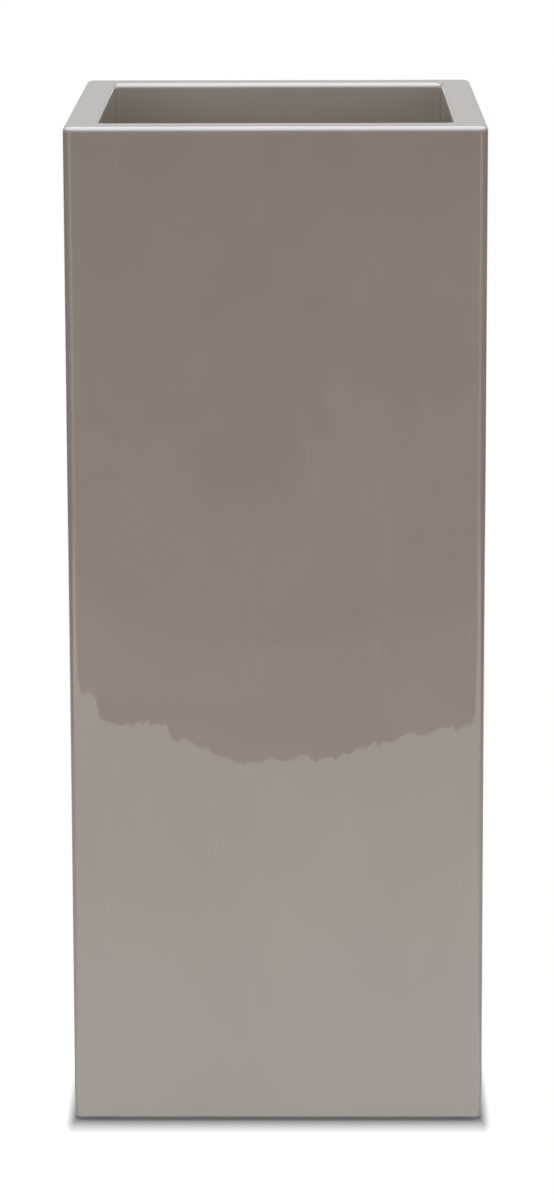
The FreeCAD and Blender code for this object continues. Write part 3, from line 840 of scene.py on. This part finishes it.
def make_feet(finish):
    """Four rubber pads with a moulded ring in the face that they stand on."""
    for name in ("front_left", "front_right", "back_left", "back_right"):
        low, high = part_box(f"foot_{name}")
        profile = rounded_profile([
            (0, low.z + FOOT_RING, 0),
            (0.0072, low.z + FOOT_RING, 0.0004),
            (0.0080, low.z, 0.0004),
            (FOOT_RADIUS - FOOT_LEAN, low.z, 0.0009),
            (FOOT_RADIUS, high.z, 0.0004),
            (0, high.z, 0),
        ])
        piece = turned_piece(f"rubber_foot_{name}", profile, (low + high) / 2, 64, [finish])
        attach(piece, "planter")
        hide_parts(f"foot_{name}")


# ---- Studio ----

PHOTO_HEIGHT = 1200.0  # pixels of the photograph's long side
LENS = 107.587  # millimetres, for a sensor whose long side is SENSOR
SENSOR = 36.0
CAMERA_AT = Vector((0.0266, -3.3616, 1.3273))
CAMERA_PITCH = math.radians(9.821)
CAMERA_AIM = math.radians(-0.46)
CAMERA_ROLL = -0.0029
LEVEL_LINE = 300.0  # pixel row of the photograph's optical centre

WHITE = (1.0, 1.0, 1.0, 1.0)
PAPER = (0.80, 0.80, 0.80, 1.0)
# painted shade: the paper as the camera sees it, darker than it is to other rays, to deepen the planter's
# shadow
PAPER_SHADED_FOR_CAMERA = (0.24, 0.24, 0.243, 1.0)
SHADOW_REACH = 0.029  # to the camera the sheet is plain white from this far in front of the planter
SHADOW_SHAPE = (3.5, 1.0, 0.0)  # and sooner beside it
SHADOW_WHITE = 0.06  # share of plain white where sheet and planter meet
CONTACT = 0.006  # reflections see the real paper this close to the planter
SHEET_NEAR_LIGHT = (1.27, 1.32, 1.32, 1.0)
SHEET_FAR_LIGHT = (1.20, 1.16, 1.09, 1.0)
SHEET_SIDE_LIGHT = (0.50, 0.49, 0.48, 1.0)
# Painted shadow in reflections: the sheet's glow is made darker close to the planter's sides.
SIDE_GAP = 0.15  # reflections see the sheet darker this close to the sides
SIDE_PAINTED_SHADE = 0.35

SHEET_NEAREST = 1.12  # the planter's face to the white sheet's edge, where that is nearest
SHEET_FARTHEST = 1.75
SHEET_DIP_AT = -0.045
SHEET_SLOPE = 0.60  # to the right of the dip
SHEET_FLAT = 0.022  # taken off the rise over a short stretch there
SHEET_STEPS = ((0.09, -SHEET_DIP_AT, 0.130), (0.07, 0.134, 0.145), (0.13, 0.232, 0.264))  # rise, from, to
SHEET_LEFT_END = 0.20
SHEET_LEFT_SLOPE = 0.5
SHEET_TEARS = ((0.0035, 0.050), (0.010, 0.022), (0.008, 0.009))  # depth and length
TEAR_SEED = 3
TEAR_WAVES = 9
SHEET_HEIGHT = -0.0002
MAT_BEYOND = 0.59
MAT_HEIGHT = -0.004
FLOOR_MIDDLE = 1.0  # half width of the square in the middle of each floor covering
UNDERSIDE_EDGE = 0.004  # light comes up through the floor this far inside the outside faces

ARC_AT = 1.68  # the planter's face to the step in the floor that reflections see
ARC_BEND = 2.9
ARC_SOFT = 0.03
ARC_STEP = 0.14
MAT_RISE = 0.06  # the floor grows this much paler from the arc to the sheet

FLOOR_LIGHT = 0.05
WALL_LIGHT = 1.87
CEILING_LIGHT = 0.35
LIGHT_BELOW = 1.0  # only the underside sees it, through the floor
FLOOR_MIRRORED = 0.02
MAT_MIRRORED = 0.29
FLOOR_TINT = (0.95, 0.76, 0.66, 1.0)
STRETCH_MIRRORED = 0.75
HORIZON_MIRRORED = 0.54
ROOM_MIRRORED = 0.56
GLOW_MIRRORED = 4.0
GLOW_TINT = (0.92, 1.0, 1.10, 1.0)
LAMP_AT = (0.0, -0.45, RIM_TOP + 2.0)
LAMP_SIZE = 2.2
LAMP_RADIANCE = 4.55


def add_camera():
    """A camera where the photograph was taken from, found from the corners of the rim and the base."""
    data = bpy.data.cameras.new("portrait_camera")
    data.lens = LENS
    data.sensor_width = SENSOR
    data.shift_y = LEVEL_LINE / PHOTO_HEIGHT - 0.5
    camera = linked("portrait_camera", data)
    level = math.cos(CAMERA_PITCH)
    ahead = Vector((math.sin(CAMERA_AIM) * level, math.cos(CAMERA_AIM) * level, -math.sin(CAMERA_PITCH)))
    facing = ahead.to_track_quat("-Z", "Y").to_matrix() @ Matrix.Rotation(CAMERA_ROLL, 3, "Z")
    camera.matrix_world = Matrix.Translation(CAMERA_AT) @ facing.to_4x4()
    bpy.context.scene.camera = camera


def sheet_edge(across):
    """How far the white sheet reaches in front of a face, across it: least left of the middle, rising
    in steps to the left and to the right evenly but for a flat stretch, then levelling off towards the
    sheet's corners. The edge is torn a little, at three sizes."""
    flat = SHEET_FLAT * ease(across, 0.02, 0.045) * ease(-across, -0.11, -0.05)
    right = SHEET_SLOPE * np.maximum(across - SHEET_DIP_AT, 0) - flat
    left = sum(rise * ease(-across, start, stop) for rise, start, stop in SHEET_STEPS)
    left = left + SHEET_LEFT_SLOPE * np.maximum(-across - SHEET_LEFT_END, 0)
    wave, bite, snag = (
        depth * swell(across, 0 * across, length, TEAR_SEED + number, TEAR_WAVES)
        for number, (depth, length) in enumerate(SHEET_TEARS)
    )
    room = SHEET_FARTHEST - SHEET_NEAREST
    growth = (right + left) / room
    reach = SHEET_NEAREST + room * np.tanh(growth * (1 + 0.1 * growth))
    return reach + wave + np.abs(bite) - np.abs(snag)


def floor_piece(name, beyond, height, finish):
    """A flat floor covering: a plain square in the middle, and on each of its sides the same strip,
    which reaches out to the torn edge. The strips lie over each other at the corners."""
    corner = OUTSIDE + SHEET_FARTHEST + beyond
    across = np.linspace(-corner, corner, 2400)
    edge = np.stack([across, -(OUTSIDE + sheet_edge(across) + beyond)], axis=1)
    strip = np.stack([edge, np.stack([across, np.full_like(across, -FLOOR_MIDDLE)], axis=1)])
    strips = four_ways(strip)
    plain = FLOOR_MIDDLE * np.array([[-1.0, -1.0], [1.0, -1.0], [1.0, 1.0], [-1.0, 1.0]])
    flat = np.concatenate([strips.reshape(-1, 2), plain])
    points = np.concatenate([flat, np.full((len(flat), 1), height)], axis=1)
    numbers = np.arange(strips[..., 0].size).reshape(strips.shape[:3])
    quads = [joined_quads(number, False, False).reshape(-1, 4) for number in numbers]
    quads.append(numbers.size + np.arange(4)[None])
    piece = new_piece(name, points, np.concatenate(quads), [finish])


def see_through_below(make, shader):
    """The floor hides nothing from a camera under it, and under the planter it lets light up."""
    across, deep, _ = make.parts(make.place())
    reach = make.math("MAXIMUM", make.math("ABSOLUTE", across), make.math("ABSOLUTE", deep))
    under = make.math("LESS_THAN", reach, OUTSIDE - UNDERSIDE_EDGE)
    hidden = make.minus(under, (make.add("LightPath"), "Is Camera Ray"))
    side = make.math("MAXIMUM", (make.add("NewGeometry"), "Backfacing"), hidden)
    clear = (make.add("BsdfTransparent"), "BSDF")
    mixed = make.add("MixShader", {0: side, 1: shader, 2: clear})
    return make.surface((mixed, "Shader"))


def sheet_finish():
    """White sheet. Away from the planter it is plain white to the camera, and close to the planter it is a
    real surface that holds the planter's shadow,
    deepened by painted shade: the camera sees the paper there darker than other rays do, and the fade into
    plain white is a painted mix. Reflections see it glow, brighter from the front and the back and dim at
    the sides, with a painted shadow close to the planter's sides."""
    make = Finish("white_floor_sheet")
    where = make.place()
    apart = make.vector("SUBTRACT", make.vector("ABSOLUTE", where), (OUTSIDE, OUTSIDE, 0))
    apart = make.vector("MAXIMUM", apart, (0, 0, 0))
    gap = make.vector("LENGTH", make.stretched(apart, SHADOW_SHAPE))
    rays = make.add("LightPath")
    camera, glossy = (rays, "Is Camera Ray"), (rays, "Is Glossy Ray")
    far = make.remap(make.vector("LENGTH", apart), 0.1, 1.1)
    mirrored = make.blend(far, SHEET_NEAR_LIGHT, SHEET_FAR_LIGHT)
    across, deep, _ = make.parts(where)
    wider = make.remap(deep, -OUTSIDE, 0.0, 0.30, 0.0)
    beside = make.remap(make.minus(sideways(make, across, deep), wider), 0.36, 0.62)
    mirrored = make.blend(beside, mirrored, SHEET_SIDE_LIGHT)
    off_side, off_front, _ = make.parts(apart)
    from_side = make.plus(off_side, make.times(off_front, 20.0))  # ends sooner in front
    # Painted shadow: reflections see the sheet darker close to the planter's sides.
    mirrored = make.blend(1.0, mirrored, make.remap(from_side, 0.0, SIDE_GAP, SIDE_PAINTED_SHADE, 1.0), "MULTIPLY")
    glow = make.add("Emission", {"Color": make.blend(camera, mirrored, WHITE), "Strength": 1.0})
    # Painted shade: the camera sees this paper darker than other rays do, and the shadow's fade into plain
    # white is a mix by distance; the paper's own shading in it is real light.
    paper = make.add("BsdfDiffuse", {"Color": make.blend(camera, PAPER, PAPER_SHADED_FOR_CAMERA)})
    by_camera = make.times(camera, make.remap(gap, 0.0, SHADOW_REACH, SHADOW_WHITE, 1.0, smooth=False))
    by_mirror = make.times(glossy, make.remap(gap, 0.0, CONTACT))
    clear = make.plus(by_camera, by_mirror)
    mixed = make.add("MixShader", {0: clear, 1: (paper, "BSDF"), 2: (glow, "Emission")})
    return see_through_below(make, (mixed, "Shader"))


def sideways(make, across, deep):
    """The share of across^2 in across^2 + deep^2: 0 straight ahead or behind and 1 straight sideways."""
    east = make.times(across, across)
    north = make.times(deep, deep)
    return make.math("DIVIDE", east, make.math("MAXIMUM", make.plus(east, north), 0.0001))


def headings(make, across, deep):
    """How much a heading looks the way that the front or the back does, and how much it lies in the
    stretch beside that."""
    share = sideways(make, across, deep)
    off_ahead = make.remap(share, 0.03, 0.09)
    off_stretch = make.remap(share, 0.35, 0.60)
    ahead = make.minus(1.0, off_ahead)
    return ahead, make.minus(off_ahead, make.math("MINIMUM", off_ahead, off_stretch))


def mat_finish():
    """The dark floor round the sheet, which only reflections see: to the camera it is white. Ahead of
    the front and the back it grows paler towards the sheet, with a step along a shallow arc."""
    make = Finish("dark_floor_mat")
    where = make.place()
    across, deep, _ = make.parts(where)
    ahead, stretch = headings(make, across, deep)
    away = make.minus(make.math("ABSOLUTE", deep), OUTSIDE)
    bend = make.times(make.times(across, across), ARC_BEND)
    step = make.remap(make.minus(away, bend), ARC_AT + ARC_SOFT, ARC_AT - ARC_SOFT, 0.0, ARC_STEP)
    rise = make.remap(away, ARC_AT, SHEET_NEAREST, MAT_MIRRORED, MAT_MIRRORED + MAT_RISE, smooth=False)
    paler = make.times(ahead, make.plus(rise, step))
    beside = make.times(stretch, STRETCH_MIRRORED)
    worn = make.remap(make.noise(where, scale=5.0, detail=3.0, roughness=0.6), 0.3, 0.7, 0.82, 1.18)
    level = make.plus(make.times(make.plus(paler, beside), worn), FLOOR_MIRRORED)
    tinted = make.blend(1.0, level, FLOOR_TINT, "MULTIPLY")
    shown = make.blend((make.add("LightPath"), "Is Camera Ray"), tinted, WHITE)
    glow = make.add("Emission", {"Color": shown, "Strength": 1.0})
    return see_through_below(make, (glow, "Emission"))


def light_world():
    """White to the camera. For soft light, pale walls, a dimmer ceiling and a dark floor. In
    reflections the far floor is dark, a little paler ahead and paler still beside that, then come
    pale walls and, higher up, the softbox's glow, which is stronger towards the front. Heights are
    sines of the elevation."""
    world = bpy.data.worlds.new("studio_room")
    world.use_nodes = True
    world.node_tree.nodes.clear()
    make = Finish("studio_room", world.node_tree)
    where = (make.add("TexCoord"), "Generated")
    across, deep, height = make.parts(where)
    walls = make.remap(height, -0.02, 0.02, FLOOR_LIGHT, WALL_LIGHT)
    soft = make.minus(walls, make.remap(height, 0.30, 0.60, 0.0, WALL_LIGHT - CEILING_LIGHT))
    soft = make.plus(soft, make.remap(height, -0.45, -0.55, 0.0, LIGHT_BELOW))
    ahead, stretch = headings(make, across, deep)
    paler = make.times(ahead, make.remap(height, -0.115, -0.24, 0.0, MAT_MIRRORED, smooth=False))
    beside = make.times(stretch, make.remap(height, -0.06, -0.10, 0.0, STRETCH_MIRRORED))
    room = make.remap(height, -0.10, -0.05, FLOOR_MIRRORED, HORIZON_MIRRORED)
    room = make.minus(room, make.remap(height, 0.04, 0.13, 0.0, HORIZON_MIRRORED - ROOM_MIRRORED))
    towards = make.remap(deep, 0.75, 0.30, 0.1, 1.0)
    above = make.times(towards, make.remap(height, 0.24, 0.84, 0.0, GLOW_MIRRORED))
    above = make.blend(1.0, above, GLOW_TINT, "MULTIPLY")
    worn = make.remap(make.noise(where, scale=16.0, detail=3.0, roughness=0.6), 0.3, 0.7, 0.7, 1.3)
    floor = make.times(make.plus(paler, beside), worn)
    tinted = make.blend(1.0, floor, FLOOR_TINT, "MULTIPLY")
    mirrored = make.blend(1.0, make.blend(1.0, tinted, room, "ADD"), above, "ADD")
    rays = make.add("LightPath")
    light = make.blend((rays, "Is Glossy Ray"), soft, mirrored)
    light = make.blend((rays, "Is Camera Ray"), light, WHITE)
    glow = make.add("Background", {"Color": light, "Strength": 1.0})
    make.add("OutputWorld", {"Surface": (glow, "Background")})
    bpy.context.scene.world = world


def add_softbox():
    """A large flat soft lamp overhead, a little towards the front. Neither the camera nor reflections
    see it: what they see overhead is the world's glow."""
    data = bpy.data.lights.new("overhead_softbox", "AREA")
    data.shape = "SQUARE"
    data.size = LAMP_SIZE
    data.energy = LAMP_RADIANCE * math.pi * LAMP_SIZE**2
    lamp = linked("overhead_softbox", data)
    lamp.location = LAMP_AT
    lamp.visible_camera = False
    lamp.visible_glossy = False


lacquer = gloss_lacquer()
laminate = bare_laminate()
tape = laminate_tape()
board = shelf_board()
rubber = black_rubber()

make_shell(lacquer, laminate)
make_base_panel(laminate)
make_base_tapes(tape)
make_shelf_ledges(laminate)
make_shelf(board)
make_drain_plug(rubber)
make_feet(rubber)

add_camera()
floor_piece("white_floor_sheet", 0.0, SHEET_HEIGHT, sheet_finish())
floor_piece("dark_floor_mat", MAT_BEYOND, MAT_HEIGHT, mat_finish())
light_world()
add_softbox()

bpy.context.scene.view_settings.view_transform = "Standard"
